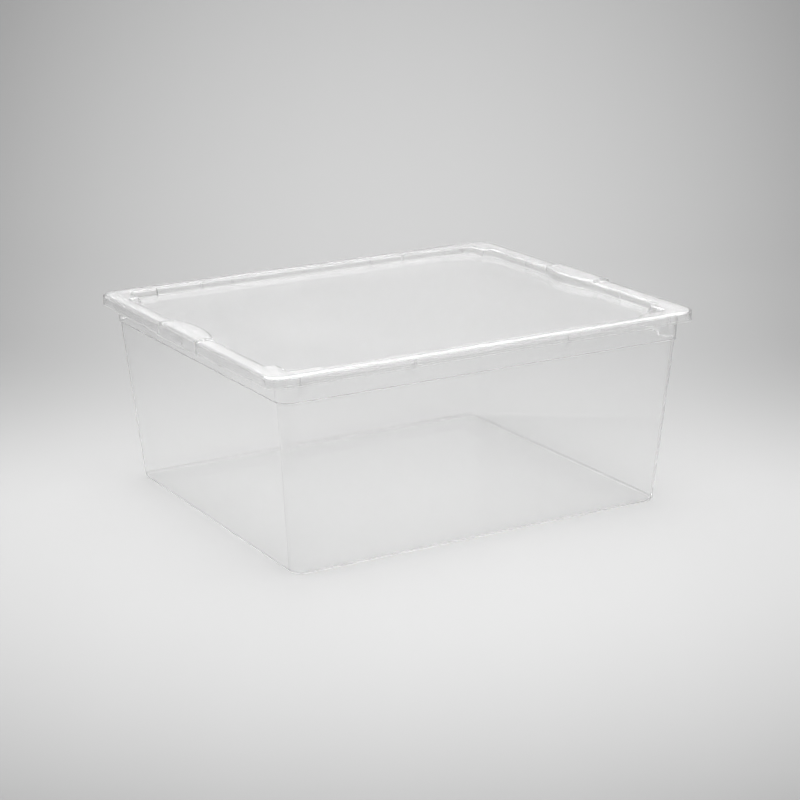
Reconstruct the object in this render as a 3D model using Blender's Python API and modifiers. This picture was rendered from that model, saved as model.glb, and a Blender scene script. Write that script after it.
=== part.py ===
"""A clear stackable storage box: a tapered tub with a turned-down rim, and a lid that snaps over it.

Lengths are in metres and +Z is up. The origin is the middle of the tub's underside, on the ground.
+X runs along the two long sides, which are called the sides. The two short ones are called the ends.
Each piece is one moulding, so each is a single skin with an even wall. Both are symmetric about the
XZ and YZ planes, so only a quarter of each skin is drawn, from the middle of the side at +Y round the
corner to the middle of the end at +X, and mirrored twice.
"""

import math

import bmesh
import bpy

# The closed box
LID_LENGTH = 0.4
LID_WIDTH = 0.34
CLOSED_HEIGHT = 0.17
SEAT_GAP = 0.0003

# The lid's skin, seen from above: a flat panel, a wall up to the rim, and a skirt round the outside
LID_WALL = 0.0016
LID_CORNER_RADIUS = 0.0145
RIM_RADIUS = 0.003
CREST_RADIUS = 0.0018
SKIRT_HEIGHT = 0.009
SKIRT_DRAFT = 0.0002
RECESS_DEPTH = 0.0065
RECESS_DRAFT = 0.0012
PLUG_CLEARANCE_END = 0.0004
PLUG_CLEARANCE_SIDE = 0.0016

# Corner blocks of the lid's rim, which hold the base of a box stacked on top
BLOCK_DEPTH_END = 0.0088
BLOCK_DEPTH_SIDE = 0.0044
BLOCK_REACH_END = 0.039
BLOCK_REACH_SIDE = 0.052
BLOCK_SLOPE = 0.0032
BLOCK_CORNER_RADIUS = 0.006
STACK_CLEARANCE_END = 0.0003
STACK_CLEARANCE_SIDE = 0.0017

# Grips at the middle of the lid's ends: a raised pad, and a stretch of skirt that stands out below it
GRIP_LENGTH = 0.077
GRIP_PAD_LENGTH = 0.075
GRIP_RISE = 0.0016
GRIP_STEP = 0.00125
GRIP_DROP = 0.0012
GRIP_BULGE = 0.007
GRIP_RISER = 0.0006

# Ribs inside the lid's rim that centre it between the tub's sides
CENTRING_RIB_THICKNESS = 0.002
CENTRING_RIB_CLEARANCE = 0.0004
CENTRING_RIB_LEAD = 0.0015
CENTRING_RIB_PLACE_SHARE = 0.52

# The tub's skin: a dished floor, a tapered wall, a ledge, an upright band and a turned-down flange
TUB_WALL = 0.0016
BASE_CORNER_RADIUS = 0.012
BASE_RADIUS = 0.0045
FOOT_WIDTH = 0.014
DISH_RISE = 0.0006
DISH_SLOPE = 0.002
DISH_CORNER_RADIUS = 0.008
BAND_INSET_END = 0.0116
BAND_INSET_SIDE = 0.0056
BAND_HEIGHT = 0.0227
BAND_DRAFT = 0.0005
BAND_CORNER_RADIUS = 0.013
LEDGE_WIDTH = 0.0015
LEDGE_SLOPE = 0.0009
FLANGE_RADIUS = 0.0008
LIP_CLEARANCE = 0.0004
LIP_HEIGHT_SIDE = 0.0061
LIP_HEIGHT_END = 0.0095
LIP_REACH_END = 0.036
LIP_SLOPE = 0.004

# Gussets between the tub's band and the lip of its flange
GUSSET_THICKNESS = 0.0012
GUSSET_FALL_SIDE = 0.0048
GUSSET_FALL_END = 0.006
GUSSET_REVEAL = 0.0005
GUSSET_CORNER_DISTANCE = 0.028
GUSSET_SIDE_PLACE_SHARE = 0.36
GUSSET_END_PLACE_SHARE = 0.44

# Snap boss on the lip at the middle of each end, behind the lid's grip
BOSS_WIDTH = 0.016
BOSS_HEIGHT = 0.0045
BOSS_DEPTH = 0.0009
BOSS_RAMP = 0.0024
BOSS_BELOW_FLANGE = 0.0025

# How finely round stretches are drawn, and how near two points of the mirrored halves count as one
CORNER_STEPS = 8
RIM_STEPS = 4
CREST_STEPS = 2
BASE_STEPS = 4
FLANGE_STEPS = 2
GRIP_STEPS = 5
MERGE_DISTANCE = 0.00001
SMOOTH_ANGLE = math.radians(35)
QUARTER_TURN = math.pi / 2

# Heights that both pieces share
half_length = LID_LENGTH / 2
half_width = LID_WIDTH / 2
rim_top = CLOSED_HEIGHT - GRIP_RISE
seat_height = rim_top - LID_WALL
flange_top = seat_height - SEAT_GAP
flange_under = flange_top - TUB_WALL
ledge_height = flange_top - BAND_HEIGHT

# Half sizes, in plan, of the tub's band and flange and of what the lid fits inside and outside them
band_half_x = half_length - BAND_INSET_END
band_half_y = half_width - BAND_INSET_SIDE
lip_inset = SKIRT_DRAFT + LID_WALL + LIP_CLEARANCE
crest_half_x = band_half_x - TUB_WALL - PLUG_CLEARANCE_END - LID_WALL
crest_half_y = band_half_y - TUB_WALL - PLUG_CLEARANCE_SIDE - LID_WALL
block_half_x = crest_half_x - BLOCK_DEPTH_END
block_half_y = crest_half_y - BLOCK_DEPTH_SIDE
base_half_x = block_half_x - RECESS_DRAFT - STACK_CLEARANCE_END
base_half_y = block_half_y - RECESS_DRAFT - STACK_CLEARANCE_SIDE


def arc(half_x, half_y, radius):
    """Plan points of the rounded corner at +X +Y, from the side's end of it to the end's."""
    points = []
    for step in range(CORNER_STEPS + 1):
        angle = QUARTER_TURN * (1 - step / CORNER_STEPS)
        x = half_x - radius + radius * math.cos(angle)
        y = half_y - radius + radius * math.sin(angle)
        points.append((x, y))
    return points


def outward(start, end):
    """Unit vector in plan that points out of the box from the line between two points of a path."""
    dx, dy = end[0] - start[0], end[1] - start[1]
    length = math.hypot(dx, dy)
    return -dy / length, dx / length


def offset(path, distance):
    """A quarter path moved outward by a distance, or inward by a negative one, with mitred corners."""
    mirrored_start = (-path[1][0], path[1][1])
    mirrored_end = (path[-2][0], -path[-2][1])
    extended = [mirrored_start, *path, mirrored_end]
    moved = []
    for before, point, after in zip(extended, path, extended[2:]):
        ax, ay = outward(before, point)
        bx, by = outward(point, after)
        reach = distance / (1 + ax * bx + ay * by)
        moved.append((point[0] + reach * (ax + bx), point[1] + reach * (ay + by)))
    return moved


def level(path, height):
    """Points of a plan path at one height."""
    return [(x, y, height) for x, y in path]


def lofted_skin(name, rings, faces_up):
    """A mesh of quads between rings of points, closed by a flat face inside the first ring.

    The rings run from the middle of the box outward. faces_up says whether the first face looks up.
    """
    shape = bmesh.new()
    rows = [[shape.verts.new(point) for point in ring] for ring in rings]
    middle = shape.verts.new((0, 0, rings[0][0][2]))
    faces = [[middle, *reversed(rows[0])]]
    for inner, outer in zip(rows, rows[1:]):
        for i in range(len(inner) - 1):
            faces.append([inner[i], inner[i + 1], outer[i + 1], outer[i]])
    for corners in faces:
        shape.faces.new(corners if faces_up else corners[::-1])
    mesh = bpy.data.meshes.new(name)
    shape.to_mesh(mesh)
    shape.free()
    mesh.shade_smooth()
    mesh.set_sharp_from_angle(angle=SMOOTH_ANGLE)
    return mesh


def new_object(name, data, collection):
    """An object that holds the given data, linked to a collection."""
    made = bpy.data.objects.new(name, data)
    collection.objects.link(made)
    return made


def mirror_across(target, end_to_end=True, side_to_side=True):
    """Mirrors a piece drawn in one quarter of the box, from one end to the other and between the sides."""
    mirror = target.modifiers.new("Mirror", "MIRROR")
    mirror.use_axis = (end_to_end, side_to_side, False)
    mirror.merge_threshold = MERGE_DISTANCE


def give_wall(target, thickness):
    """Thickens a skin on the side that its faces look away from."""
    solidify = target.modifiers.new("Wall", "SOLIDIFY")
    solidify.thickness = thickness
    solidify.offset = -1
    solidify.use_even_offset = True
    solidify.use_quality_normals = True


def join_on(target, addition):
    """Fuses another closed solid onto a piece, which carries it along."""
    addition.parent = target
    union = target.modifiers.new(addition.name, "BOOLEAN")
    union.operation = "UNION"
    union.object = addition


def extruded_plate(name, outline, thickness, place, along_side, helpers):
    """A flat plate that stands upright on the box, mirrored to all the places that match.

    The outline's points are a distance from the box's middle and a height. The plate crosses the
    side at +Y where along_side is true, and otherwise the end at +X. place is how far it stands
    from the middle of that side or end.
    """
    flat = bpy.data.curves.new(name, "CURVE")
    flat.dimensions = "2D"
    flat.fill_mode = "BOTH"
    flat.extrude = thickness / 2
    spline = flat.splines.new("POLY")
    spline.points.add(len(outline) - 1)
    spline.use_cyclic_u = True
    for point, (reach, height) in zip(spline.points, outline):
        point.co = (reach, height, 0, 1)
    drawn = new_object(name, flat, helpers)
    drawn.rotation_euler = (QUARTER_TURN, 0, QUARTER_TURN if along_side else 0)
    drawn.location = (place, 0, 0) if along_side else (0, place, 0)
    bpy.context.view_layer.update()
    mesh = bpy.data.meshes.new_from_object(drawn.evaluated_get(bpy.context.evaluated_depsgraph_get()))
    mesh.transform(drawn.matrix_world)
    bpy.data.objects.remove(drawn)
    shape = bmesh.new()
    shape.from_mesh(mesh)
    bmesh.ops.remove_doubles(shape, verts=shape.verts, dist=MERGE_DISTANCE)
    bmesh.ops.recalc_face_normals(shape, faces=shape.faces)
    shape.to_mesh(mesh)
    shape.free()
    plate = new_object(name, mesh, helpers)
    plate.hide_render = True
    plate.display_type = "WIRE"
    off_middle = place > 0
    mirror_across(plate, end_to_end=off_middle or not along_side, side_to_side=off_middle or along_side)
    return plate


def clear_plastic(name, colour, roughness, transmission):
    """A see-through plastic with the given tint, surface roughness and clearness."""
    material = bpy.data.materials.new(name)
    material.use_nodes = True
    shader = material.node_tree.nodes["Principled BSDF"]
    shader.inputs["Base Color"].default_value = (*colour, 1)
    shader.inputs["Metallic"].default_value = 0
    shader.inputs["Roughness"].default_value = roughness
    shader.inputs["IOR"].default_value = 1.49
    shader.inputs["Transmission Weight"].default_value = transmission
    return material


def lid_stations():
    """Matching plan points of the lid: its skirt, its rim's inner crest, and whether each is on a grip.

    Along a side or an end each pair shares its place on it. Round the corner both paths turn together.
    """
    block_end_x = half_length - BLOCK_REACH_SIDE
    block_end_y = half_width - BLOCK_REACH_END
    grip_half = GRIP_LENGTH / 2
    pad_half = GRIP_PAD_LENGTH / 2
    stations = []
    for x, y in (
        (0, crest_half_y),
        (block_end_x, crest_half_y),
        (block_end_x + BLOCK_SLOPE, block_half_y),
    ):
        stations.append(((x, half_width), (x, y), False))
    outer = arc(half_length, half_width, LID_CORNER_RADIUS)
    inner = arc(block_half_x, block_half_y, BLOCK_CORNER_RADIUS)
    stations += [(a, b, False) for a, b in zip(outer, inner)]
    for x, y in (
        (block_half_x, block_end_y + BLOCK_SLOPE),
        (crest_half_x, block_end_y),
    ):
        stations.append(((half_length, y), (x, y), False))
    riser_foot = (half_length, grip_half + GRIP_RISER), (crest_half_x, pad_half + GRIP_RISER)
    stations.append((*riser_foot, False))
    bulge_radius = (pad_half**2 + GRIP_BULGE**2) / (2 * GRIP_BULGE)
    for step in range(GRIP_STEPS + 1):
        share = 1 - step / GRIP_STEPS
        y = pad_half * share
        bulge = math.sqrt(bulge_radius**2 - y**2) - (bulge_radius - GRIP_BULGE)
        outer_point = (half_length + GRIP_STEP, grip_half * share)
        stations.append((outer_point, (crest_half_x - bulge, y), True))
    return stations


def lid_rings():
    """Rings of the lid's skin, from the panel over the rim and down the skirt.

    Heights are above the plane on which the lid sits.
    """
    stations = lid_stations()
    skirt = [station[0] for station in stations]
    crest = [station[1] for station in stations]
    on_grip = [station[2] for station in stations]
    tops = [LID_WALL + GRIP_RISE * raised for raised in on_grip]
    bottoms = [LID_WALL - SKIRT_HEIGHT - GRIP_DROP * raised for raised in on_grip]

    def ring(path, heights):
        return [(x, y, height) for (x, y), height in zip(path, heights)]

    rings = [level(offset(crest, -RECESS_DRAFT), LID_WALL - RECESS_DEPTH)]
    for step in range(CREST_STEPS + 1):
        angle = QUARTER_TURN * step / CREST_STEPS
        path = offset(crest, CREST_RADIUS * (1 - math.cos(angle)))
        drop = CREST_RADIUS * (1 - math.sin(angle))
        rings.append(ring(path, [top - drop for top in tops]))
    for step in range(RIM_STEPS + 1):
        angle = QUARTER_TURN * (1 - step / RIM_STEPS)
        path = offset(skirt, -SKIRT_DRAFT - RIM_RADIUS * (1 - math.cos(angle)))
        drop = RIM_RADIUS * (1 - math.sin(angle))
        rings.append(ring(path, [top - drop for top in tops]))
    rings.append(ring(skirt, bottoms))
    return rings


def make_lid(parts, helpers):
    """The lid: a recessed panel inside a hollow rim, with corner blocks, grips and centring ribs."""
    lid = new_object("lid", lofted_skin("lid", lid_rings(), faces_up=True), parts)
    lid.data.materials.append(clear_plastic("clear_lid", (0.9, 0.91, 0.91), 0.22, 0.85))
    mirror_across(lid)
    give_wall(lid, LID_WALL)
    root = crest_half_y + LID_WALL / 2
    face = band_half_y - TUB_WALL - CENTRING_RIB_CLEARANCE
    low = LID_WALL - RECESS_DEPTH - LID_WALL / 2
    outline = (
        (root - RECESS_DRAFT, low),
        (face - CENTRING_RIB_LEAD, low),
        (face, low + CENTRING_RIB_LEAD),
        (face, LID_WALL / 2),
        (root, LID_WALL / 2),
    )
    place = half_length * CENTRING_RIB_PLACE_SHARE
    join_on(lid, extruded_plate("centring_rib", outline, CENTRING_RIB_THICKNESS, place, True, helpers))
    lid.location.z = seat_height
    return lid


def tub_path(half_x, half_y, radius):
    """A quarter of a rounded rectangle, with points on the end that match where the lip changes height."""
    lip_straight = half_width - LID_CORNER_RADIUS
    lip_turn = half_width - LIP_REACH_END
    shares = lip_turn / lip_straight, (lip_turn - LIP_SLOPE) / lip_straight, 0
    straight = half_y - radius
    return [(0, half_y), *arc(half_x, half_y, radius), *((half_x, straight * share) for share in shares)]


def tub_rings():
    """Rings of the tub's outer skin, from the underside up the wall and down inside the lip."""
    base = tub_path(base_half_x, base_half_y, BASE_CORNER_RADIUS)
    band_foot = tub_path(
        band_half_x - BAND_DRAFT, band_half_y - BAND_DRAFT, BAND_CORNER_RADIUS - BAND_DRAFT
    )
    band_head = tub_path(band_half_x, band_half_y, BAND_CORNER_RADIUS)
    lip = tub_path(
        half_length - lip_inset - TUB_WALL,
        half_width - lip_inset - TUB_WALL,
        LID_CORNER_RADIUS - lip_inset - TUB_WALL,
    )
    foot = tub_path(base_half_x - FOOT_WIDTH, base_half_y - FOOT_WIDTH, DISH_CORNER_RADIUS + DISH_SLOPE)
    rings = [level(offset(foot, -DISH_SLOPE), DISH_RISE), level(foot, 0)]
    taper = math.atan2(band_half_x - BAND_DRAFT - LEDGE_WIDTH - base_half_x, ledge_height)
    for step in range(BASE_STEPS + 1):
        angle = (QUARTER_TURN - taper) * step / BASE_STEPS
        path = offset(base, -BASE_RADIUS * (1 - math.sin(angle)))
        rings.append(level(path, BASE_RADIUS * (1 - math.cos(angle))))
    rings.append(level(offset(band_foot, -LEDGE_WIDTH), ledge_height - LEDGE_SLOPE))
    rings.append(level(band_foot, ledge_height))
    for step in range(FLANGE_STEPS + 1):
        angle = QUARTER_TURN * step / FLANGE_STEPS
        path = offset(band_head, FLANGE_RADIUS * (1 - math.cos(angle)))
        rings.append(level(path, flange_under - FLANGE_RADIUS * (1 - math.sin(angle))))
    for step in range(FLANGE_STEPS + 1):
        angle = QUARTER_TURN * step / FLANGE_STEPS
        path = offset(lip, -FLANGE_RADIUS * (1 - math.sin(angle)))
        rings.append(level(path, flange_under - FLANGE_RADIUS * (1 - math.cos(angle))))
    slope_middle = half_width - LIP_REACH_END - LIP_SLOPE / 2
    bottoms = [
        flange_top - (LIP_HEIGHT_END if x > base_half_x and y < slope_middle else LIP_HEIGHT_SIDE)
        for x, y in lip
    ]
    rings.append([(x, y, height) for (x, y), height in zip(lip, bottoms)])
    return rings


def make_gussets(helpers):
    """Upright webs that stiffen the flange: one near each corner of a side, and one off each middle."""
    lip_side = half_width - lip_inset - TUB_WALL / 2
    lip_end = half_length - lip_inset - TUB_WALL / 2
    high = flange_top - TUB_WALL / 2
    side_foot = flange_top - LIP_HEIGHT_SIDE + GUSSET_REVEAL
    end_foot = flange_top - LIP_HEIGHT_END + GUSSET_REVEAL
    side_outline = (
        (band_half_y - TUB_WALL / 2, high),
        (band_half_y - TUB_WALL / 2, side_foot - GUSSET_FALL_SIDE),
        (lip_side, side_foot),
        (lip_side, high),
    )
    end_outline = (
        (band_half_x - TUB_WALL / 2, high),
        (band_half_x - TUB_WALL / 2, end_foot - GUSSET_FALL_END),
        (lip_end, end_foot),
        (lip_end, high),
    )
    corner_place = half_length - GUSSET_CORNER_DISTANCE
    side_place = half_length * GUSSET_SIDE_PLACE_SHARE
    end_place = half_width * GUSSET_END_PLACE_SHARE
    return [
        extruded_plate("corner_gusset", side_outline, GUSSET_THICKNESS, corner_place, True, helpers),
        extruded_plate("side_gusset", side_outline, GUSSET_THICKNESS, side_place, True, helpers),
        extruded_plate("end_gusset", end_outline, GUSSET_THICKNESS, end_place, False, helpers),
    ]


def make_boss(helpers):
    """The snap boss: a flat step with a ramp above it, over which the grip's skirt slides on."""
    root = half_length - lip_inset - TUB_WALL / 2
    face = half_length - lip_inset + BOSS_DEPTH
    high = flange_top - BOSS_BELOW_FLANGE
    outline = (
        (root, high),
        (root, high - BOSS_HEIGHT),
        (face, high - BOSS_HEIGHT),
        (face, high - BOSS_RAMP),
        (half_length - lip_inset, high),
    )
    return extruded_plate("snap_boss", outline, BOSS_WIDTH, 0, False, helpers)


def make_tub(parts, helpers):
    """The tub: one skin from its dished floor to its turned-down lip, with gussets and snap bosses."""
    tub = new_object("box_body", lofted_skin("box_body", tub_rings(), faces_up=False), parts)
    tub.data.materials.append(clear_plastic("clear_body", (0.94, 0.95, 0.95), 0.12, 0.93))
    mirror_across(tub)
    give_wall(tub, TUB_WALL)
    for addition in (*make_gussets(helpers), make_boss(helpers)):
        join_on(tub, addition)
    return tub


def main():
    for old in list(bpy.data.objects):
        bpy.data.objects.remove(old)
    scene = bpy.context.scene
    parts = bpy.data.collections.new("storage_box")
    helpers = bpy.data.collections.new("storage_box_helpers")
    scene.collection.children.link(parts)
    scene.collection.children.link(helpers)
    origin = new_object("storage_box_origin", None, parts)
    for piece in (make_tub(parts, helpers), make_lid(parts, helpers)):
        piece.parent = origin


main()
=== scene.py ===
"""The looks of a clear stackable storage box with a snap-on lid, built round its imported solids.

Lengths are in metres and +Z is up. The origin is the middle of the tub's underside, on the floor.
+X runs along the two long sides and +Y across the box, so the two short walls are its ends.
"""

import logging
import math
from dataclasses import dataclass
from enum import Enum

import bmesh
import bpy
import numpy as np
from bpy.types import Material, Mesh, Node, NodeSocket, NodeTree, Object
from mathutils import Matrix, Vector
from numpy import ndarray


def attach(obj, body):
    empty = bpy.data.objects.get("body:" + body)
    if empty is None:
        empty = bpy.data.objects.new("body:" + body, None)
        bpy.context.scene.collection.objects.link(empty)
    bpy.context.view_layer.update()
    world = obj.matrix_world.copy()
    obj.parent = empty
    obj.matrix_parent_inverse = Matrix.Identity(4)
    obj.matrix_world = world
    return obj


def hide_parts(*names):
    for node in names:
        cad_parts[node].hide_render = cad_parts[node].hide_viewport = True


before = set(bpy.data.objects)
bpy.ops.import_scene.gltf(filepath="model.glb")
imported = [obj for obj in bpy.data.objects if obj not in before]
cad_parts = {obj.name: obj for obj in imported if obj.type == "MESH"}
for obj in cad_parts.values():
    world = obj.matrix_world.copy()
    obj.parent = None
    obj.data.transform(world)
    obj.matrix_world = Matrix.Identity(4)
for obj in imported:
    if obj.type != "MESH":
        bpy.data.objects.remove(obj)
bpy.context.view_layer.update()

LOG = logging.getLogger("storage_box")
QUARTER_TURN = math.pi / 2

# Steps round a corner of the box, along an eased stretch, and round a profile's quarter turn
CORNER_STEPS = 28
EASE_STEPS = 8
ARC_STEPS = 8

# The most that an arc takes up of the straight beside it
ARC_ROOM = 0.45

# Where a flat's first ring stands, in radii of the arc beside it
FLAT_START = 2.0

# Sizes of the rings that fill in a flat face, in shares of its outline
FILL_SHARES = (0.99, 0.9, 0.6, 0.25)

# The least angle between faces that shows as an edge
CREASE = math.radians(50)

# How many of each kind of the plastic's unevenness fit in a metre
CLOUD_SCALE = 9.0
SPECKLE_SCALE = 420.0
WAVE_SCALE = 14.0
GRAIN_SCALE = 700.0

# How far the sum of two noises strays from its mean, which is 1
NOISE_SPREAD = 0.25


class Wall(Enum):
    """Which of the box's walls a shape crosses, by the axis that runs through it."""

    END = 0
    SIDE = 1


@dataclass(frozen=True)
class ClosedBox:
    """Sizes of the closed box that its two mouldings share."""

    length: float = 0.4
    width: float = 0.34
    height: float = 0.17
    seat_gap: float = 0.0003
    wall: float = 0.0016
    corner_radius: float = 0.0145
    skirt_draft: float = 0.0002
    recess_draft: float = 0.0012
    grip_rise: float = 0.0016
    lip_clearance: float = 0.0004
    band_inset_end: float = 0.0116
    band_inset_side: float = 0.0056
    band_height: float = 0.0227
    plug_clearance_end: float = 0.0004
    plug_clearance_side: float = 0.0016
    block_depth_end: float = 0.0088
    block_depth_side: float = 0.0044
    stack_clearance_end: float = 0.0003
    stack_clearance_side: float = 0.0017
    edge_radius: float = 0.00035

    @property
    def half(self) -> ndarray:
        """Half the length and half the width of the lid."""
        return np.array([self.length, self.width]) / 2

    @property
    def seat(self) -> float:
        """Height of the plane that the lid's rim sits on."""
        return self.height - self.grip_rise - self.wall

    @property
    def flange_top(self) -> float:
        """Height of the top of the tub's flange."""
        return self.seat - self.seat_gap

    @property
    def lip_inset(self) -> float:
        """Distance from the lid's outside to the outside of the tub's lip."""
        return self.skirt_draft + self.wall + self.lip_clearance

    @property
    def band(self) -> ndarray:
        """Half sizes of the tub's band at its head."""
        return self.half - np.array([self.band_inset_end, self.band_inset_side])

    @property
    def crest(self) -> ndarray:
        """Half sizes of the lid's recess at its crest, between the corner blocks."""
        clearance = np.array([self.plug_clearance_end, self.plug_clearance_side])
        return self.band - clearance - 2 * self.wall

    @property
    def block(self) -> ndarray:
        """Half sizes of the lid's recess at its crest, at the corner blocks."""
        return self.crest - np.array([self.block_depth_end, self.block_depth_side])

    @property
    def base(self) -> ndarray:
        """Half sizes of the tub's base."""
        clearance = np.array([self.stack_clearance_end, self.stack_clearance_side])
        return self.block - self.recess_draft - clearance


def smooth_step(share: ndarray) -> ndarray:
    """Eases shares from 0 to 1: three squares less two cubes."""
    return share * share * (3 - 2 * share)


def shares(count: int, last: bool = False) -> ndarray:
    """Gives even shares from 0 to 1 in a count of steps, and 1 itself only where last is true."""
    return np.linspace(0, 1, count + 1)[: count + last]


def eased_rise(low: int, high: int) -> ndarray:
    """Zeros at the low stations, an eased rise, and ones at the high stations."""
    return np.concatenate([np.zeros(low), smooth_step(shares(EASE_STEPS)), np.ones(high)])


def stretch(
    start: tuple[float, float], end: tuple[float, float], steps: int,
    last: bool = False, eased: Wall | None = None,
) -> ndarray:
    """Plan points of a stretch: its start plus even or eased shares of the way to its end.

    Args:
        start: Where it starts.
        end: Where it ends.
        steps: How many steps it has.
        last: Whether its end is given too.
        eased: The wall that the stretch eases towards or away from, if it does.

    Returns:
        Rows of x and y.
    """
    share = np.column_stack([shares(steps, last)] * 2)
    if eased is not None:
        share[:, eased.value] = smooth_step(share[:, eased.value])
    return np.array(start) + (np.array(end) - np.array(start)) * share


def corner_turn(centre: ndarray, radius: float) -> ndarray:
    """Plan points round a corner: its centre plus the radius along a way that turns from +Y to +X."""
    turn = QUARTER_TURN * (1 - shares(CORNER_STEPS))
    return centre + radius * np.column_stack([np.cos(turn), np.sin(turn)])


def round_loop(quarter: ndarray) -> ndarray:
    """Mirrors a quarter's points to a closed loop round the box.

    Args:
        quarter: Rows of x, y and z, from the middle of the side at +Y to the middle of the end at +X.

    Returns:
        The rows of the whole loop, clockwise as seen from above.
    """
    flip_x, flip_y = np.array([-1, 1, 1]), np.array([1, -1, 1])
    back = quarter[::-1]
    return np.concatenate(
        [quarter[:-1], (back * flip_y)[:-1], (quarter * flip_x * flip_y)[:-1], (back * flip_x)[:-1]]
    )


def round_values(quarter: ndarray) -> ndarray:
    """Repeats one value for each of a quarter's stations round the whole loop."""
    return round_loop(np.column_stack([quarter] * 3))[:, 2]


@dataclass(frozen=True)
class Corner:
    """One corner of a wall's profile.

    Attributes:
        out: Distance outwards from the path that the profile is carried along.
        height: Height above the piece's own zero plane.
        radius: Radius that rounds the corner.
        lift: What the corner's height gains where the piece is fully raised.
        mark: A value that the rings near this corner carry, such as which path they follow.
        matt: How matt the tool left the corner's arc on the outer skin, from 0 to 1, which past the finish's
            edge start also sets a painted shade.
        inner_matt: The same for its arc on the inner skin.
    """

    out: float
    height: float
    radius: float = 0.0
    lift: float = 0.0
    mark: float = 0.0
    matt: float = 0.0
    inner_matt: float = 0.0


@dataclass(frozen=True)
class Profile:
    """A rounded profile as arrays, one row per ring."""

    out: ndarray
    height: ndarray
    lift: ndarray
    mark: ndarray
    matt: ndarray


def walled(outer: list[Corner], wall: float, edge: float) -> list[Corner]:
    """Turns the corners of an open skin into those of a wall of even thickness.

    Each inner corner lies where the two neighbouring lines, moved inwards by the wall, meet. Its
    radius is the outer one less the wall on the inside of a bend, or plus the wall on the outside.

    Args:
        outer: Corners of the outer skin, first to last.
        wall: The wall's thickness, positive where the solid lies to the right of the direction of
            travel and negative where it lies to the left.
        edge: Radius of the rounded free edge.

    Returns:
        The corners down the outer skin and back along the inner one.
    """
    points = np.array([(c.out, c.height) for c in outer])
    steps = np.diff(points, axis=0)
    steps /= np.linalg.norm(steps, axis=1)[:, None]
    inward = np.stack([steps[:, 1], -steps[:, 0]], axis=1)
    before = np.vstack([inward[:1], inward])
    after = np.vstack([inward, inward[-1:]])
    reach = wall / (1 + np.sum(before * after, axis=1))
    inner = points + (before + after) * reach[:, None]
    bend = np.zeros(len(outer))
    bend[1:-1] = steps[:-1, 0] * steps[1:, 1] - steps[:-1, 1] * steps[1:, 0]
    back = []
    for place, corner, turning in zip(inner, outer, bend):
        radius = 0.0
        if corner.radius:
            outside = turning * wall > 0
            radius = corner.radius + abs(wall) if outside else max(corner.radius - abs(wall), edge)
        back.append(Corner(*place, radius, corner.lift, corner.mark, corner.inner_matt))
    foot = outer[-1].matt
    ends = [Corner(c.out, c.height, edge, c.lift, c.mark, foot) for c in (outer[-1], back[-1])]
    return [*outer[:-1], *ends, *back[-2::-1]]


def arc_steps(corners: list[Corner]) -> list[int]:
    """Chooses how many steps round off each corner, by the angle that it turns.

    Args:
        corners: The profile's corners.

    Returns:
        One count for each corner.
    """
    points = np.array([(c.out, c.height) for c in corners])
    ways = np.unwrap(np.arctan2(*np.diff(points, axis=0).T[::-1]))
    sweeps = np.abs(np.concatenate([[0], np.diff(ways), [0]]))
    return [max(2, math.ceil(ARC_STEPS * sweep / QUARTER_TURN)) for sweep in sweeps]


def rounded(corners: list[Corner], hold: float, counts: list[int]) -> Profile:
    """Rounds a profile's corners with arcs and keeps the straight stretches straight.

    An arc touches both lines at the distance radius / tan(half the angle between them). Beside each
    arc a further ring holds the flat's own normal, so that a shaded wall stays flat up to its edge.
    An arc is as matt as its corner at its middle, and less by the fourth power of the distance from
    there, down to none at its ends.

    Args:
        corners: The profile's corners, first to last.
        hold: Distance from an arc to the ring that holds the flat.
        counts: Steps in each corner's arc.

    Returns:
        The profile's rings.
    """
    rows: list[tuple[float, ...]] = []
    points = np.array([(c.out, c.height) for c in corners])
    for index, corner in enumerate(corners):
        here = points[index]
        if corner.radius == 0 or index in (0, len(corners) - 1):
            rows.append((*here, corner.lift, corner.mark, corner.matt))
            continue
        back, ahead = points[index - 1] - here, points[index + 1] - here
        shorter = min(np.linalg.norm(back), np.linalg.norm(ahead))
        back, ahead = back / np.linalg.norm(back), ahead / np.linalg.norm(ahead)
        opening = math.acos(float(np.clip(back @ ahead, -1, 1)))
        reach = min(corner.radius / math.tan(opening / 2), shorter * ARC_ROOM)
        radius = reach * math.tan(opening / 2)
        middle = here + (back + ahead) / np.linalg.norm(back + ahead) * radius / math.sin(opening / 2)
        first, last = here + back * reach - middle, here + ahead * reach - middle
        sweep = math.pi - opening
        share = shares(counts[index], True)[:, None]
        arc = (np.sin(sweep * (1 - share)) * first + np.sin(sweep * share) * last) / math.sin(sweep)
        beside = min(hold, shorter / 2 - reach)
        places = [first + back * beside, *arc, last + ahead * beside]
        matt = [0.0, *(corner.matt * (1 - (2 * share[:, 0] - 1) ** 4)), 0.0]
        for place, value in zip(np.array(places) + middle, matt):
            rows.append((*place, corner.lift, corner.mark, value))
    return Profile(*np.array(rows).T)


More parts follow.
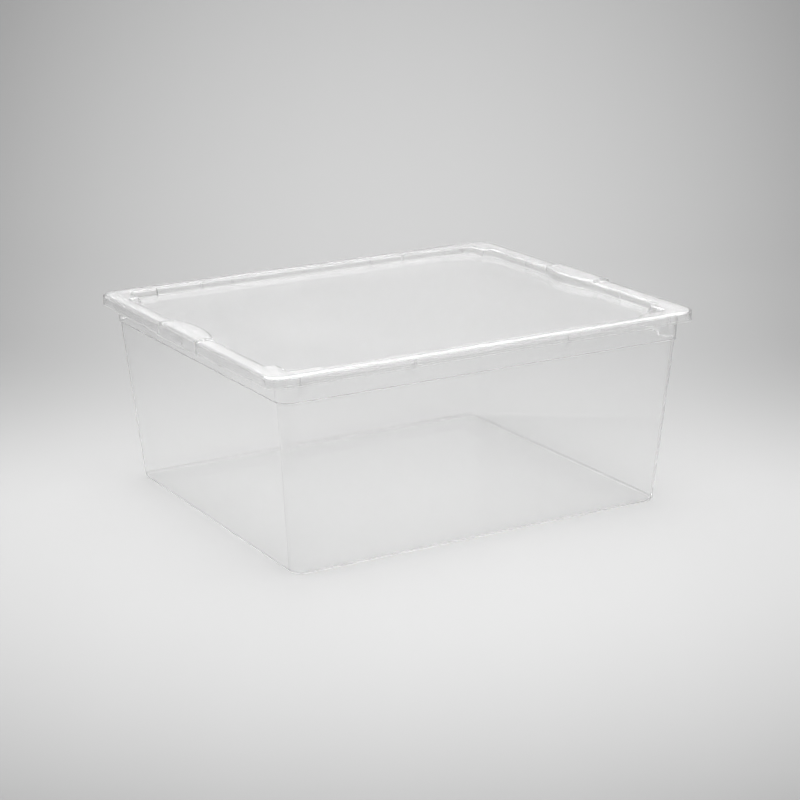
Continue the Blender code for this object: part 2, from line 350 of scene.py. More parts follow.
def shell_mesh(name: str, rings: ndarray, matt: ndarray) -> Mesh:
    """Makes a closed shell from rings that run from the middle of one face to the middle of the other.

    The first and the last ring are each filled in by copies of themselves, drawn towards the middle
    of the box, and by a fan to one point. All other faces are quads between neighbouring rings.

    Args:
        name: The mesh's name.
        rings: Points as an array of ring, station and coordinate.
        matt: How matt each of those points is.

    Returns:
        The mesh, with its faces looking out.
    """
    scale = np.array(FILL_SHARES)[:, None, None] * np.array([1.0, 1.0, 0.0]) + np.array([0.0, 0.0, 1.0])
    whole = np.concatenate([(rings[:1] * scale)[::-1], rings, rings[-1:] * scale])
    count, around = whole.shape[:2]
    ring, place = np.meshgrid(np.arange(count - 1) * around, np.arange(around), indexing="ij")
    following = (place + 1) % around
    here, ahead = ring + place, ring + following
    quads = np.stack([here, ahead, ahead + around, here + around], axis=-1)
    verts = np.concatenate([whole.reshape(-1, 3), whole[0].mean(0)[None], whole[-1].mean(0)[None]])
    first, after = place[0], following[0]
    final = (count - 1) * around
    start_fan = np.stack([after, first, np.full(around, len(verts) - 2)], axis=1)
    end_fan = np.stack([final + first, final + after, np.full(around, len(verts) - 1)], axis=1)
    mesh = bpy.data.meshes.new(name)
    mesh.from_pydata(verts, [], [*quads.reshape(-1, 4).tolist(), *start_fan.tolist(), *end_fan.tolist()])
    plain = np.zeros(len(FILL_SHARES) * around)
    values = np.concatenate([plain, matt.ravel(), plain, [0, 0]])
    mesh.attributes.new("matt", "FLOAT", "POINT").data.foreach_set("value", values.astype(np.float32))
    shape = bmesh.new()
    shape.from_mesh(mesh)
    if shape.calc_volume(signed=True) < 0:
        bmesh.ops.reverse_faces(shape, faces=shape.faces)
    shape.to_mesh(mesh)
    shape.free()
    return mesh


def plates_mesh(name: str, outlines: list[ndarray]) -> Mesh:
    """Makes flat plates with straight edges, each a closed solid.

    Args:
        name: The mesh's name.
        outlines: For each plate an array of side, corner and coordinate: its two faces' corners.

    Returns:
        One mesh of all the plates, with their faces looking out.
    """
    shape = bmesh.new()
    for two_faces in outlines:
        near, far = ([shape.verts.new(point) for point in face] for face in two_faces)
        shape.faces.new(near)
        shape.faces.new(far[::-1])
        for i in range(len(near)):
            shape.faces.new([near[i - 1], far[i - 1], far[i], near[i]])
    bmesh.ops.recalc_face_normals(shape, faces=shape.faces)
    mesh = bpy.data.meshes.new(name)
    shape.to_mesh(mesh)
    shape.free()
    return mesh


def plate_at(outline: list[tuple[float, float]], thickness: float, place: float, wall: Wall) -> ndarray:
    """Places an upright plate that crosses the wall at +Y or at +X.

    Args:
        outline: Corners as a distance from the middle of the box and a height.
        thickness: The plate's thickness.
        place: How far the plate stands from the middle of that wall.
        wall: The wall that the plate crosses.

    Returns:
        An array of side, corner and coordinate.
    """
    reach, height = np.array(outline).T
    faces = []
    for along in (place - thickness / 2, place + thickness / 2):
        level = np.full_like(reach, along)
        columns = [level, reach, height] if wall is Wall.SIDE else [reach, level, height]
        faces.append(np.stack(columns, axis=1))
    return np.array(faces)


def mirrored(plates: list[ndarray]) -> list[ndarray]:
    """Repeats plates at the matching places of the other sides and ends.

    Args:
        plates: Plates in the quarter at +X and +Y, or on the middle of a wall.

    Returns:
        The plates and their mirror images, without repeats.
    """
    made: list[ndarray] = []
    flips = [np.array([x, y, 1]) for x in (1, -1) for y in (1, -1)]
    for copy in (plate * flip for plate in plates for flip in flips):
        middle = copy.mean((0, 1))
        if all(np.linalg.norm(middle - other.mean((0, 1))) > ClosedBox.wall for other in made):
            made.append(copy)
    return made


def moulding(shell: Mesh, plates: Mesh, finish: Material) -> Object:
    """Joins plates onto a shell, shades the result and gives it its finish.

    Args:
        shell: The shell's closed mesh.
        plates: The closed plates that cross into its wall.
        finish: The piece's material.

    Returns:
        An object at the origin with the joined mesh.
    """
    scene = bpy.context.scene
    piece = bpy.data.objects.new(shell.name, shell)
    cutter = bpy.data.objects.new(plates.name, plates)
    scene.collection.objects.link(piece)
    scene.collection.objects.link(cutter)
    union = piece.modifiers.new("Union", "BOOLEAN")
    union.operation = "UNION"
    union.object = cutter
    bpy.context.view_layer.update()
    evaluated = piece.evaluated_get(bpy.context.evaluated_depsgraph_get())
    joined = bpy.data.meshes.new_from_object(evaluated)
    piece.modifiers.clear()
    bpy.data.objects.remove(cutter)
    piece.data = joined
    joined.name = piece.name
    joined.shade_smooth()
    joined.set_sharp_from_angle(angle=CREASE)
    joined.materials.clear()
    joined.materials.append(finish)
    return piece


class GroupMaker:
    """Builds a shader node group node by node."""

    def __init__(self, name: str) -> None:
        """Starts an empty group.

        Args:
            name: The group's name.
        """
        self.tree = bpy.data.node_groups.new(name, "ShaderNodeTree")
        self.entry = self.tree.nodes.new("NodeGroupInput")
        self.exit = self.tree.nodes.new("NodeGroupOutput")

    def takes(self, name: str, kind: str = "NodeSocketFloat") -> NodeSocket:
        """Adds an input of the group, and gives the socket that carries it inside."""
        self.tree.interface.new_socket(name, in_out="INPUT", socket_type=kind)
        return self.entry.outputs[name]

    def gives(self, name: str, source: NodeSocket) -> None:
        """Adds an output of the group, fed from a socket inside it."""
        self.tree.interface.new_socket(name, in_out="OUTPUT", socket_type="NodeSocketFloat")
        self.tree.links.new(source, self.exit.inputs[name])


def add_node(tree: NodeTree, kind: str, inputs: dict[str | int, object], **settings: object) -> Node:
    """Adds a node to a tree.

    Args:
        tree: The tree that gets the node.
        kind: The node's type name, without ShaderNode in front.
        inputs: For each input's name or place, a value, or a socket to link to it.
        settings: The node's own settings.

    Returns:
        The node.
    """
    made = tree.nodes.new("ShaderNode" + kind)
    for name, value in settings.items():
        setattr(made, name, value)
    for name, value in inputs.items():
        if isinstance(value, NodeSocket):
            tree.links.new(value, made.inputs[name])
        else:
            made.inputs[name].default_value = value
    return made


def moulded_sheen_group() -> NodeTree:
    """Makes the group for a moulded surface's uneven gloss.

    The gloss drifts in broad clouds, as a polished tool leaves it, and is broken by fine speckle.

    Returns:
        The node group, with a Roughness output.
    """
    maker = GroupMaker("Moulded sheen")
    tree = maker.tree
    place = maker.takes("Place", "NodeSocketVector")
    least, most = maker.takes("Least"), maker.takes("Most")
    clouds = add_node(tree, "TexNoise", {"Vector": place, "Scale": CLOUD_SCALE, "Detail": 3.0})
    speckle = add_node(tree, "TexNoise", {"Vector": place, "Scale": SPECKLE_SCALE, "Detail": 2.0})
    both = add_node(tree, "Math", {0: clouds.outputs["Fac"], 1: speckle.outputs["Fac"]}, operation="ADD")
    mapped = add_node(tree, "MapRange", {
        "Value": both.outputs[0], "From Min": 1 - NOISE_SPREAD, "From Max": 1 + NOISE_SPREAD,
        "To Min": least, "To Max": most,
    })
    maker.gives("Roughness", mapped.outputs["Result"])
    return tree


def moulded_relief_group() -> NodeTree:
    """Makes the group for the slight unevenness of a moulded wall.

    Broad, shallow waves where the wall has sunk as it cooled, with a much finer skin on top.

    Returns:
        The node group, with a Height output in metres.
    """
    maker = GroupMaker("Moulded relief")
    tree = maker.tree
    place = maker.takes("Place", "NodeSocketVector")
    wave, skin = maker.takes("Wave Height"), maker.takes("Skin Height")
    waves = add_node(tree, "TexNoise", {"Vector": place, "Scale": WAVE_SCALE, "Detail": 1.0})
    fine = add_node(tree, "TexNoise", {"Vector": place, "Scale": GRAIN_SCALE, "Detail": 1.0})
    first = add_node(tree, "Math", {0: waves.outputs["Fac"], 1: wave}, operation="MULTIPLY")
    total = add_node(tree, "Math", {0: fine.outputs["Fac"], 1: skin, 2: first.outputs[0]},
                     operation="MULTIPLY_ADD")
    maker.gives("Height", total.outputs[0])
    return tree


@dataclass(frozen=True)
class ClearPlastic:
    """A see-through moulded plastic.

    Attributes:
        name: The material's name.
        clear: Share of the light that goes through instead of being scattered.
        edge_shade_colour: Colour painted on a fully matt edge where it is seen from inside the wall, a
            painted shade.
        least_rough: Roughness where the surface is glossiest.
        most_rough: Roughness where it is dullest.
        shade: What a lamp's light keeps as it passes one surface.
        frost: Roughness added on the lid's flat panel.
        frost_depth: How far below the rim's seat the frost starts.
        frost_fade: Height over which it grows.
        colour: What the rest of the surface lets through and scatters.
        edge_start: How matt an edge is where its painted shade starts.
        edge_frost: Roughness added at a fully matt edge.
        wave: Height of the broad waves.
        skin: Height of the fine skin.
        ior: How strongly it bends light.
        blocked: Share of the mirrored light that is missing behind the surface.
    """

    name: str
    clear: float
    edge_shade_colour: tuple[float, float, float]
    least_rough: float
    most_rough: float
    shade: float
    frost: float = 0.0
    frost_depth: float = 0.0036
    frost_fade: float = 0.001
    colour: tuple[float, float, float] = (0.99, 0.99, 0.99)
    edge_start: float = 0.5
    edge_frost: float = 0.5
    wave: float = 0.00001
    skin: float = 0.0000003
    ior: float = 1.49
    blocked: float = 0.5

    def material(self, sheen: NodeTree, relief: NodeTree) -> Material:
        """Makes the material.

        Light that only passes on its way from a lamp or between dull surfaces goes straight through,
        less what the surface mirrors. All other light meets the plastic itself. A matt edge seen
        from inside the wall gets a painted shade, its colour mixed towards the edge colour.

        Args:
            sheen: The group for uneven gloss.
            relief: The group for the wall's unevenness.

        Returns:
            The material.
        """
        made = bpy.data.materials.new(self.name)
        made.use_nodes = True
        tree = made.node_tree
        tree.nodes.clear()
        place = add_node(tree, "TexCoord", {}).outputs["Object"]
        sheen_inputs = {"Place": place, "Least": self.least_rough, "Most": self.most_rough}
        gloss = add_node(tree, "Group", sheen_inputs, node_tree=sheen)
        relief_inputs = {"Place": place, "Wave Height": self.wave, "Skin Height": self.skin}
        uneven = add_node(tree, "Group", relief_inputs, node_tree=relief)
        bump = add_node(tree, "Bump", {"Height": uneven.outputs["Height"], "Distance": 1.0, "Strength": 1.0})
        matt = add_node(tree, "Attribute", {}, attribute_name="matt").outputs["Fac"]
        rough = add_node(tree, "Math", {0: matt, 1: self.edge_frost, 2: gloss.outputs["Roughness"]},
                         operation="MULTIPLY_ADD").outputs[0]
        if self.frost:
            rough = self.frosted(tree, place, rough)
        facing = add_node(tree, "NewGeometry", {}).outputs["Backfacing"]
        # Painted shade: where a matt edge is seen from inside the wall (Backfacing), its colour is mixed
        # towards the edge colour
        dull = add_node(tree, "MapRange", {0: matt, "From Min": self.edge_start, "To Max": facing})
        colours = {0: dull.outputs["Result"], 6: (*self.colour, 1.0), 7: (*self.edge_shade_colour, 1.0)}
        colour = add_node(tree, "Mix", colours, data_type="RGBA").outputs[2]
        shader = add_node(tree, "BsdfPrincipled", {
            "Base Color": colour, "Metallic": 0.0, "IOR": self.ior,
            "Transmission Weight": self.clear, "Roughness": rough, "Normal": bump.outputs["Normal"],
        })
        bend = add_node(tree, "MapRange", {0: facing, "To Min": self.ior, "To Max": 1 / self.ior})
        mirrored_part = add_node(tree, "Fresnel", {"IOR": bend.outputs["Result"]}).outputs["Fac"]
        kept = add_node(tree, "Math", {0: mirrored_part, 1: -self.blocked, 2: self.shade},
                        operation="MULTIPLY_ADD")
        passing = add_node(tree, "BsdfTransparent", {"Color": kept.outputs[0]}).outputs[0]
        path = add_node(tree, "LightPath", {})
        surface = shader.outputs[0]
        for factor in (path.outputs["Is Diffuse Ray"], path.outputs["Is Shadow Ray"]):
            surface = add_node(tree, "MixShader", {0: factor, 1: surface, 2: passing}).outputs[0]
        add_node(tree, "OutputMaterial", {"Surface": surface})
        return made

    def frosted(self, tree: NodeTree, place: NodeSocket, rough: NodeSocket) -> NodeSocket:
        """Adds roughness below the rim, on the lid's flat panel.

        Args:
            tree: The material's nodes.
            place: The coordinates of the surface.
            rough: The roughness so far.

        Returns:
            The socket with the roughness of both parts.
        """
        height = add_node(tree, "SeparateXYZ", {0: place}).outputs["Z"]
        start = ClosedBox().seat - self.frost_depth
        mask = add_node(tree, "MapRange", {
            "Value": height, "From Min": start, "From Max": start - self.frost_fade,
            "To Min": 0.0, "To Max": self.frost,
        })
        total = add_node(tree, "Math", {0: rough, 1: mask.outputs["Result"]}, operation="ADD")
        return total.outputs[0]


@dataclass
class Lid:
    """The lid: a flat recessed panel inside a hollow rim with corner blocks and end grips."""

    box: ClosedBox = ClosedBox()
    recess_depth: float = 0.0065
    fillet: float = 0.0012
    crest_radius: float = 0.0018
    rim_radius: float = 0.003
    rim_flat_end: float = 1.3
    flat_hold: float = 0.0004
    skirt_height: float = 0.009
    block_reach_end: float = 0.039
    block_reach_side: float = 0.052
    block_slope: float = 0.002
    block_corner_radius: float = 0.006
    grip_half: float = 0.0385
    pad_half: float = 0.0375
    grip_step: float = 0.00125
    grip_drop: float = 0.0012
    grip_bulge: float = 0.007
    grip_riser: float = 0.0002
    rib_thickness: float = 0.002
    rib_clearance: float = 0.0004
    rib_lead: float = 0.0015
    rib_place_share: float = 0.52
    riser_matt: float = 0.8
    crest_inner_matt: float = 0.3
    rim_inner_matt: float = 0.2
    skirt_foot_matt: float = 1.0
    side_steps: int = 6
    block_steps: int = 3
    end_steps: int = 4
    pad_steps: int = 16

    def raised(self) -> ndarray:
        """How far each station of a quarter is raised, from 0 to 1 on the grip."""
        level = self.side_steps + CORNER_STEPS + self.end_steps + 2 * (EASE_STEPS + self.block_steps)
        return eased_rise(level, self.pad_steps + 1)

    def crest_path(self, grow: float) -> ndarray:
        """Plan points of the recess's outline in one quarter, moved outwards.

        Straight stretches step in along an eased slope at each corner block, and bow in along an arc
        at the grip. A line that is moved by d shifts its bends along by d times the tangent of half
        the angle that it turns.

        Args:
            grow: Distance outwards.

        Returns:
            Rows of x and y.
        """
        box = self.box
        crest, block = box.crest + grow, box.block + grow
        slope, riser = self.block_slope, self.grip_riser
        start_x = box.half[0] - self.block_reach_side
        start_x += grow * math.tan(math.atan2(box.block_depth_side, slope) / 2)
        end_y = box.half[1] - self.block_reach_end
        end_y += grow * math.tan(math.atan2(box.block_depth_end, slope) / 2)
        centre = box.block - self.block_corner_radius
        circle = (self.pad_half**2 + self.grip_bulge**2) / (2 * self.grip_bulge)
        arc_x = box.crest[0] - self.grip_bulge + circle
        arc_half = math.sqrt((circle - grow) ** 2 - (circle - self.grip_bulge - grow) ** 2)
        arc_y = arc_half * (1 - shares(self.pad_steps, True))
        return np.concatenate([
            stretch((0, crest[1]), (start_x, crest[1]), self.side_steps),
            stretch((start_x, crest[1]), (start_x + slope, block[1]), EASE_STEPS, eased=Wall.SIDE),
            stretch((start_x + slope, block[1]), (centre[0], block[1]), self.block_steps),
            corner_turn(centre, self.block_corner_radius + grow),
            stretch((block[0], centre[1]), (block[0], end_y + slope), self.block_steps),
            stretch((block[0], end_y + slope), (crest[0], end_y), EASE_STEPS, eased=Wall.END),
            stretch((crest[0], end_y), (crest[0], arc_half + riser), self.end_steps),
            stretch((crest[0], arc_half + riser), (crest[0], arc_half), EASE_STEPS),
            np.column_stack([arc_x - np.sqrt((circle - grow) ** 2 - arc_y**2), arc_y]),
        ])

    def skirt_path(self, grow: float) -> ndarray:
        """Plan points of the lid's outside in one quarter, moved outwards.

        Args:
            grow: Distance outwards.

        Returns:
            Rows of x and y, one for each of the recess's.
        """
        box = self.box
        inner = self.crest_path(0.0)
        block = self.side_steps + EASE_STEPS
        block_end = block + 2 * self.block_steps + CORNER_STEPS
        first = inner[block, 0]
        high, low = inner[block_end, 1], inner[block_end + EASE_STEPS, 1]
        side, end = box.half[1] + grow, box.half[0] + grow
        centre = box.half - box.corner_radius
        half = self.grip_half + grow * math.tan(math.atan2(self.grip_step, self.grip_riser) / 2)
        grip, foot = end + self.grip_step, half + self.grip_riser
        return np.concatenate([
            np.column_stack([inner[:block, 0], np.full(block, side)]),
            stretch((first, side), (centre[0], side), self.block_steps),
            corner_turn(centre, box.corner_radius + grow),
            stretch((end, centre[1]), (end, high), self.block_steps),
            stretch((end, high), (end, low), EASE_STEPS),
            stretch((end, low), (end, foot), self.end_steps),
            stretch((end, foot), (grip, half), EASE_STEPS, eased=Wall.END),
            stretch((grip, half), (grip, 0), self.pad_steps, last=True),
        ])

    def rings(self) -> tuple[ndarray, ndarray]:
        """Rings of the closed wall, from the panel's top over the rim and back under the panel.

        The profile's out is measured from the recess's outline where its mark is 0 and from the
        lid's outside where its mark is 1. There the skin is matt where the grip rises, most at the
        middle of the rise.

        Returns:
            Points as an array of ring, station and coordinate, and how matt each is.
        """
        box = self.box
        rise = box.grip_rise
        top, panel = box.wall, box.wall - self.recess_depth
        inner = [
            Corner(-box.recess_draft - self.fillet * FLAT_START, panel),
            Corner(-box.recess_draft, panel, self.fillet),
            Corner(0.0, top, self.crest_radius, rise, inner_matt=self.crest_inner_matt),
            Corner(self.crest_radius * FLAT_START, top, 0.0, rise, inner_matt=self.rim_inner_matt),
        ]
        far = box.half[0] - box.crest[0]
        edge = far - box.skirt_draft
        flat = edge - self.rim_radius * self.rim_flat_end
        outer = [
            Corner(flat, top, 0.0, rise, 1.0, inner_matt=self.rim_inner_matt),
            Corner(edge, top, self.rim_radius, rise, 1.0, inner_matt=self.rim_inner_matt),
            Corner(far, top - self.skirt_height, 0.0, -self.grip_drop, 1.0, self.skirt_foot_matt),
        ]
        corners = walled([*inner, *outer], box.wall, box.edge_radius)
        profile = rounded(corners, self.flat_hold, arc_steps(corners))
        raised = self.raised()
        riser = round_values(4 * raised * (1 - raised))
        made, matt = [], []
        for out, height, lift, mark, value in zip(*vars(profile).values()):
            path = self.skirt_path(out - far) if mark else self.crest_path(out)
            made.append(round_loop(np.column_stack([path, box.seat + height + lift * raised])))
            matt.append(np.maximum(value, riser * mark * self.riser_matt))
        return np.array(made), np.array(matt)

    def plates(self) -> list[ndarray]:
        """The centring ribs that stand on the outside of the recess's wall.

        Returns:
            For each rib an array of side, corner and coordinate.
        """
        box = self.box
        root = box.crest[1] + box.wall / 2
        face = box.band[1] - box.wall - self.rib_clearance
        high = box.seat + box.wall / 2
        low = high - self.recess_depth
        lead = [(face - self.rib_lead, low), (face, low + self.rib_lead)]
        outline = [(root - box.recess_draft, low), *lead, (face, high), (root, high)]
        place = box.half[0] * self.rib_place_share
        return mirrored([plate_at(outline, self.rib_thickness, place, Wall.SIDE)])

    def build(self, finish: Material) -> Object:
        """Builds and dresses the lid.

        Args:
            finish: Its material.

        Returns:
            The lid's object.
        """
        shell = shell_mesh("lid_skin", *self.rings())
        piece = moulding(shell, plates_mesh("lid_ribs", self.plates()), finish)
        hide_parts("lid")
        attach(piece, "lid")
        return piece


@dataclass
class Tub:
    """The tub: a dished floor, tapered walls, a ledge, a band and a turned-down flange."""

    box: ClosedBox = ClosedBox()
    base_corner_radius: float = 0.012
    base_radius: float = 0.0036
    foot_width: float = 0.014
    dish_rise: float = 0.0006
    dish_slope: float = 0.021
    dish_flat_start: float = 1.4
    dish_corner_radius: float = 0.031
    band_draft: float = 0.0005
    band_corner_radius: float = 0.013
    ledge_width: float = 0.0015
    ledge_slope: float = 0.0005
    ledge_radius: float = 0.0003
    flange_radius: float = 0.0008
    lip_height_side: float = 0.0061
    lip_height_end: float = 0.0095
    lip_reach_end: float = 0.036
    lip_slope: float = 0.004
    gusset_thickness: float = 0.0012
    gusset_fall_side: float = 0.0048
    gusset_fall_end: float = 0.006
    gusset_reveal: float = 0.0005
    gusset_corner_distance: float = 0.028
    gusset_side_place_share: float = 0.36
    gusset_end_place_share: float = 0.44
    boss_width: float = 0.016
    boss_height: float = 0.0045
    boss_depth: float = 0.0009
    boss_ramp: float = 0.0024
    boss_below_flange: float = 0.0025
    # A fully matt edge also gets the body's painted shade where it is seen from inside the wall
    corner_matt: float = 0.15
    base_matt: float = 1.0
    lip_foot_matt: float = 1.0
    side_steps: int = 8
    end_steps: int = 2
    middle_steps: int = 8

    def path(self, half: ndarray, radius: float) -> ndarray:
        """Plan points of one quarter of a rounded rectangle.

        Args:
            half: Its half sizes.
            radius: Its corners' radius.

        Returns:
            Rows of x and y, with stations on the end that match where the lip changes height.
        """
        straight = half - radius
        scale = straight[1] / (self.box.half[1] - self.box.corner_radius)
        high = (self.box.half[1] - self.lip_reach_end) * scale
        low = high - self.lip_slope * scale
        return np.concatenate([
            stretch((0, half[1]), (straight[0], half[1]), self.side_steps),
            corner_turn(straight, radius),
            stretch((half[0], straight[1]), (half[0], high), self.end_steps),
            stretch((half[0], high), (half[0], low), EASE_STEPS),
            stretch((half[0], low), (half[0], 0), self.middle_steps, last=True),
        ])

    def dropped(self) -> ndarray:
        """How far each station of a quarter's lip has dropped, from 0 to 1 on the middle of the end."""
        return eased_rise(self.side_steps + CORNER_STEPS + self.end_steps, self.middle_steps + 1)

    def corners(self, wall: Wall) -> list[Corner]:
        """Corners of the outer skin's profile across the end or across the side.

        Each corner's mark is the radius of its plan path less its distance from the middle, which
        stays the same as a path is moved in or out.

        Args:
            wall: The wall that the profile crosses.

        Returns:
            The corners from the underside's middle to the foot of the lip's inside.
        """
        box = self.box
        axis = wall.value
        band, base = box.band[axis], box.base[axis]
        under = box.flange_top - box.wall
        ledge = box.flange_top - box.band_height
        lip = box.half[axis] - box.lip_inset - box.wall
        foot = base - self.foot_width
        neck = band - self.band_draft
        dish_mark = self.dish_corner_radius - foot
        base_mark = self.base_corner_radius - base
        band_mark = self.band_corner_radius - self.band_draft - neck
        lip_mark = box.corner_radius - box.lip_inset - box.wall - lip
        drop = self.lip_height_side - self.lip_height_end
        return [
            Corner(foot - self.dish_slope * self.dish_flat_start, self.dish_rise, mark=dish_mark),
            Corner(foot - self.dish_slope, self.dish_rise, self.dish_slope, mark=dish_mark),
            Corner(foot, 0.0, self.dish_slope, mark=dish_mark),
            Corner(base, 0.0, self.base_radius, mark=base_mark, matt=self.base_matt),
            Corner(neck - self.ledge_width, ledge - self.ledge_slope, self.ledge_radius, mark=band_mark),
            Corner(neck, ledge, self.ledge_radius, mark=band_mark),
            Corner(band, under, self.flange_radius, mark=band_mark),
            Corner(lip, under, self.flange_radius, mark=lip_mark),
            Corner(lip, box.flange_top - self.lip_height_side, 0.0, drop, lip_mark, self.lip_foot_matt),
        ]

    def rings(self) -> tuple[ndarray, ndarray]:
        """Rings of the closed wall, from the underside up to the lip and back down to the floor.

        The profile is worked out across the end and across the side, whose tapers differ, and each
        ring is a rounded rectangle with those two half sizes. Above the base's rounding the four
        upright corners are slightly matt, most at the middle of their arcs and none at the ends.

        Returns:
            Points as an array of ring, station and coordinate, and how matt each is.
        """
        box = self.box
        ends, flanks = (walled(self.corners(wall), -box.wall, box.edge_radius) for wall in Wall)
        counts = arc_steps(ends)
        end, flank = (rounded(corners, box.edge_radius, counts) for corners in (ends, flanks))
        dropped = self.dropped()
        made = []
        for x, y, height, lift, mark in zip(end.out, flank.out, end.height, end.lift, end.mark):
            path = self.path(np.array([x, y]), mark + x)
            made.append(round_loop(np.column_stack([path, height + lift * dropped])))
        share = shares(CORNER_STEPS)
        turning = np.zeros_like(dropped)
        turning[self.side_steps : self.side_steps + CORNER_STEPS] = 4 * share * (1 - share)
        upright = (end.height > self.base_radius)[:, None]
        corner_matt = self.corner_matt * round_values(turning) * upright
        return np.array(made), np.maximum(end.matt[:, None], corner_matt)

    def plates(self) -> list[ndarray]:
        """The gussets under the flange and the snap bosses on the lip.

        Returns:
            For each plate an array of side, corner and coordinate.
        """
        box = self.box
        near_corner = box.half[0] - self.gusset_corner_distance
        along_side = box.half[0] * self.gusset_side_place_share
        along_end = box.half[1] * self.gusset_end_place_share
        gussets = (
            (Wall.SIDE, self.lip_height_side, self.gusset_fall_side, (near_corner, along_side)),
            (Wall.END, self.lip_height_end, self.gusset_fall_end, (along_end,)),
        )
        made = []
        for wall, lip_height, fall, places in gussets:
            root = box.band[wall.value] - box.wall / 2
            lip = box.half[wall.value] - box.lip_inset - box.wall / 2
            high = box.flange_top - box.wall / 2
            foot = box.flange_top - lip_height + self.gusset_reveal
            outline = [(root, high), (root, foot - fall), (lip, foot), (lip, high)]
            made += [plate_at(outline, self.gusset_thickness, place, wall) for place in places]
        face = box.half[0] - box.lip_inset
        root, tip = face - box.wall / 2, face + self.boss_depth
        top = box.flange_top - self.boss_below_flange
        foot = top - self.boss_height
        boss = [(root, top), (root, foot), (tip, foot), (tip, top - self.boss_ramp), (face, top)]
        return mirrored([*made, plate_at(boss, self.boss_width, 0.0, Wall.END)])

    def build(self, finish: Material) -> Object:
        """Builds and dresses the tub.

        Args:
            finish: Its material.

        Returns:
            The tub's object.
        """
        shell = shell_mesh("tub_skin", *self.rings())
        piece = moulding(shell, plates_mesh("tub_gussets", self.plates()), finish)
        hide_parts("box_body")
        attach(piece, "box")
        return piece


@dataclass(frozen=True)
class Lamp:
    """A soft rectangular lamp that faces the box, with its power in watts.

    Where it isn't shown, gloss and clear plastic show what it lights, but not the lamp itself.
    """

    name: str
    place: tuple[float, float, float]
    size: tuple[float, float]
    power: float
    shown: bool = True
    target: tuple[float, float, float] = (0.0, 0.0, 0.08)

    def build(self) -> None:
        """Puts the lamp in the scene."""
        light = bpy.data.lights.new(self.name, "AREA")
        light.shape = "RECTANGLE"
        light.size, light.size_y = self.size
        light.energy = self.power
        made = bpy.data.objects.new(self.name, light)
        made.location = self.place
        made.rotation_mode = "QUATERNION"
        made.rotation_quaternion = (Vector(self.target) - Vector(self.place)).to_track_quat("-Z", "Y")
        made.visible_glossy = made.visible_transmission = self.shown
        bpy.context.scene.collection.objects.link(made)


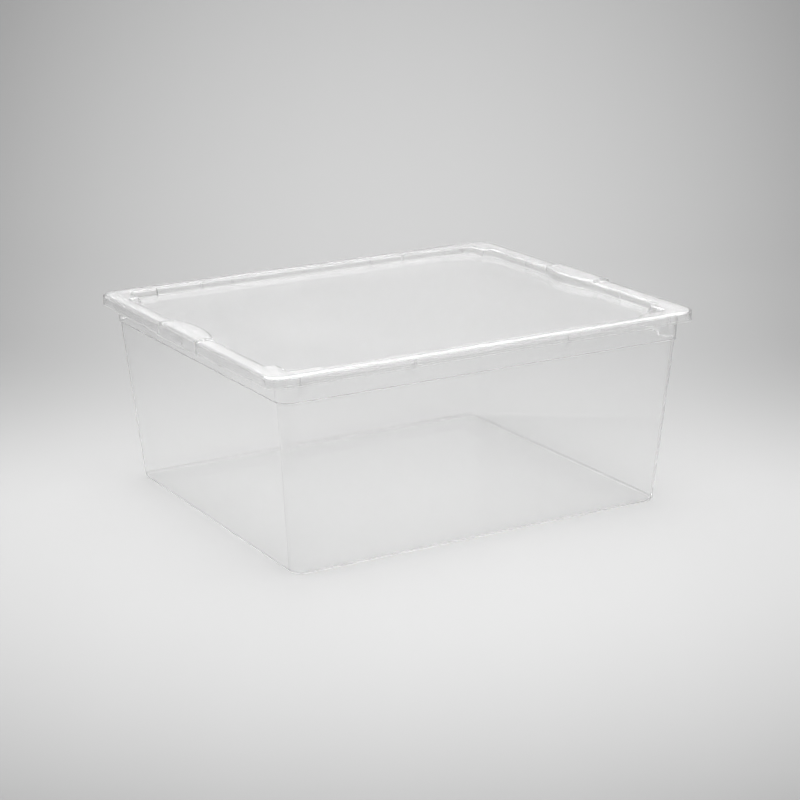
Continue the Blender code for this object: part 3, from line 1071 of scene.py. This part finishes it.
@dataclass(frozen=True)
class Studio:
    """The plain studio: a floor that curves up into a backdrop with painted light and shade, soft lamps and
    the camera.
    """

    focal_px: float = 2131.59
    picture_px: float = 800.0
    sensor: float = 36.0
    azimuth: float = -29.502
    elevation: float = 16.157
    roll: float = -0.901
    distance: float = 1.8534
    look_at: tuple[float, float, float] = (0.0059, -0.0033, 0.0798)
    clip: tuple[float, float] = (0.01, 50.0)
    floor_front: float = 6.0
    fine_front: float = 1.2
    floor_back: float = 0.9
    bend_radius: float = 0.8
    wall_height: float = 3.0
    half_width: float = 4.0
    floor_gap: float = 0.0003
    rows: int = 70
    columns: int = 81
    # Painted light and shade of the sheet: its palest values, where they peak and how fast they fade
    wall_paleness: float = 0.43
    wall_peak: float = -0.28
    wall_fade: float = 0.15
    wall_side_fade: float = 0.3
    floor_paleness: float = 0.59
    floor_peak: float = 0.28
    floor_fade: float = 0.56
    floor_side_fade: float = 0.11
    wall_foot: float = -0.19
    foot_blend: float = 0.47
    reach: float = 1.15
    least_depth: float = 0.0003
    paper_rough: float = 0.7
    paper_gloss: float = 0.1
    room_paleness: float = 0.6
    bounces: int = 48
    lamps: tuple[Lamp, ...] = (
        Lamp("overhead", place=(0.0, 0.1, 1.9), size=(3.4, 3.4), power=16.0),
        Lamp("overhead_fill", place=(0.0, 0.1, 1.92), size=(3.4, 3.4), power=48.0, shown=False),
        Lamp("back", place=(0.5, 0.9, 1.3), size=(1.8, 0.6), power=8.0),
    )

    def view(self) -> tuple[ndarray, ndarray, ndarray, ndarray]:
        """Works out the camera's directions and place.

        Returns:
            Its right, its up and its back, and where it stands.
        """
        a, e, r = (math.radians(v) for v in (self.azimuth, self.elevation, self.roll))
        back = np.array([math.sin(a) * math.cos(e), -math.cos(a) * math.cos(e), math.sin(e)])
        level = np.array([math.cos(a), math.sin(a), 0.0])
        raised = np.cross(back, level)
        right = math.cos(r) * level + math.sin(r) * raised
        up = -math.sin(r) * level + math.cos(r) * raised
        return right, up, back, np.array(self.look_at) + back * self.distance

    def camera(self) -> None:
        """Places the camera at the photograph's angle."""
        right, up, back, eye = self.view()
        lens = bpy.data.cameras.new("camera")
        lens.sensor_width = self.sensor
        lens.lens = self.focal_px / self.picture_px * self.sensor
        lens.clip_start, lens.clip_end = self.clip
        made = bpy.data.objects.new("camera", lens)
        pose = Matrix((right, up, back)).transposed().to_4x4()
        pose.translation = Vector(eye)
        made.matrix_world = pose
        bpy.context.scene.collection.objects.link(made)
        bpy.context.scene.camera = made

    def floor(self) -> None:
        """Makes the floor and the backdrop as one smooth sheet.

        Its section is a flat floor, a quarter circle and an upright wall. The sheet is a grid over the
        distance along that section and the distance across it, turned to face the camera.
        """
        bend_end = self.floor_back + QUARTER_TURN * self.bend_radius
        fine = np.linspace(-self.fine_front, bend_end, self.rows)
        along = np.concatenate([[-self.floor_front], fine, [bend_end + self.wall_height]])
        across = np.linspace(-self.half_width, self.half_width, self.columns)
        along, across = np.meshgrid(along, across, indexing="ij")
        angle = np.clip((along - self.floor_back) / self.bend_radius, 0, QUARTER_TURN)
        ahead = np.minimum(along, self.floor_back) + self.bend_radius * np.sin(angle)
        up = self.bend_radius * (1 - np.cos(angle)) + np.maximum(along - bend_end, 0) - self.floor_gap
        spin = math.radians(self.azimuth)
        points = np.stack([across * math.cos(spin) - ahead * math.sin(spin),
                           across * math.sin(spin) + ahead * math.cos(spin), up], axis=-1)
        rows, columns = along.shape
        first = (np.arange(rows - 1)[:, None] * columns + np.arange(columns - 1)).ravel()
        faces = first[:, None] + [0, 1, columns + 1, columns]
        mesh = bpy.data.meshes.new("backdrop")
        mesh.from_pydata(points.reshape(-1, 3), [], faces.tolist())
        mesh.shade_smooth()
        painted_light = mesh.attributes.new("painted_light", "FLOAT", "POINT")
        painted_light.data.foreach_set("value", self.painted_light(points).ravel().astype(np.float32))
        made = bpy.data.objects.new("backdrop", mesh)
        bpy.context.scene.collection.objects.link(made)
        mesh.materials.append(self.floor_finish())

    def painted_light(self, points: ndarray) -> ndarray:
        """How pale the sheet is painted at each point, with painted light and shade.

        The wall and the floor each have a palest place, a painted pool of light, and fade from it
        into painted shade with the square of the distance up and down and of the distance sideways,
        as the camera sees them. The two run into each other along an eased band at the wall's foot.
        The fade ends at the reach.

        Args:
            points: Points of the sheet.

        Returns:
            The paleness, from 0 for black to 1 for white.
        """
        right, up, back, eye = self.view()
        depth = np.maximum((eye - points) @ back, self.least_depth)
        scale = self.focal_px / (self.picture_px / 2)
        x = np.clip((points - eye) @ right / depth * scale, -self.reach, self.reach)
        y = np.clip(-(points - eye) @ up / depth * scale, -self.reach, self.reach)
        wall = 1 - self.wall_side_fade * x**2 - self.wall_fade * (y - self.wall_peak) ** 2
        floor = 1 - self.floor_side_fade * x**2 - self.floor_fade * (y - self.floor_peak) ** 2
        blend = smooth_step(np.clip((y - self.wall_foot) / self.foot_blend, 0, 1))
        return self.wall_paleness * wall * (1 - blend) + self.floor_paleness * floor * blend

    def floor_finish(self) -> Material:
        """Makes the floor's finish, plain matt paper coloured with the sheet's painted light and shade.

        Returns:
            The material.
        """
        made = bpy.data.materials.new("pale_floor")
        made.use_nodes = True
        tree = made.node_tree
        shader = tree.nodes["Principled BSDF"]
        painted_light = add_node(tree, "Attribute", {}, attribute_name="painted_light").outputs["Fac"]
        tree.links.new(painted_light, shader.inputs["Base Color"])
        shader.inputs["Roughness"].default_value = self.paper_rough
        shader.inputs["Specular IOR Level"].default_value = self.paper_gloss
        return made

    def world(self) -> None:
        """Fills the room with an even pale grey."""
        world = bpy.data.worlds.new("room")
        world.use_nodes = True
        background = world.node_tree.nodes["Background"]
        background.inputs["Color"].default_value = (self.room_paleness,) * 3 + (1.0,)
        background.inputs["Strength"].default_value = 1.0
        bpy.context.scene.world = world

    def build(self) -> None:
        """Builds the whole studio."""
        self.camera()
        self.floor()
        self.world()
        for lamp in self.lamps:
            lamp.build()
        bpy.context.scene.view_settings.view_transform = "Standard"
        paths = bpy.context.scene.cycles
        paths.max_bounces = paths.transmission_bounces = paths.glossy_bounces = self.bounces
        paths.transparent_max_bounces = self.bounces


def main() -> None:
    """Builds the studio and the box's two mouldings in order, and logs their counts of faces."""
    logging.basicConfig(level=logging.INFO, format="%(message)s")
    Studio().build()
    sheen, relief = moulded_sheen_group(), moulded_relief_group()
    # The tub's edge colour of 0.65 paints shade on its far base edges; the lid's 0.99 paints almost none
    body_finish = ClearPlastic(
        "clear_body", clear=0.945, edge_shade_colour=(0.65, 0.65, 0.65),
        least_rough=0.04, most_rough=0.07, shade=0.995,
    )
    lid_finish = ClearPlastic(
        "clear_lid", clear=0.935, edge_shade_colour=(0.99, 0.99, 0.99),
        least_rough=0.09, most_rough=0.13, shade=0.985, frost=0.01,
    )
    tub = Tub().build(body_finish.material(sheen, relief))
    lid = Lid().build(lid_finish.material(sheen, relief))
    for piece in (tub, lid):
        LOG.info("%s: %d faces", piece.name, len(piece.data.polygons))


if __name__ == "__main__":
    main()
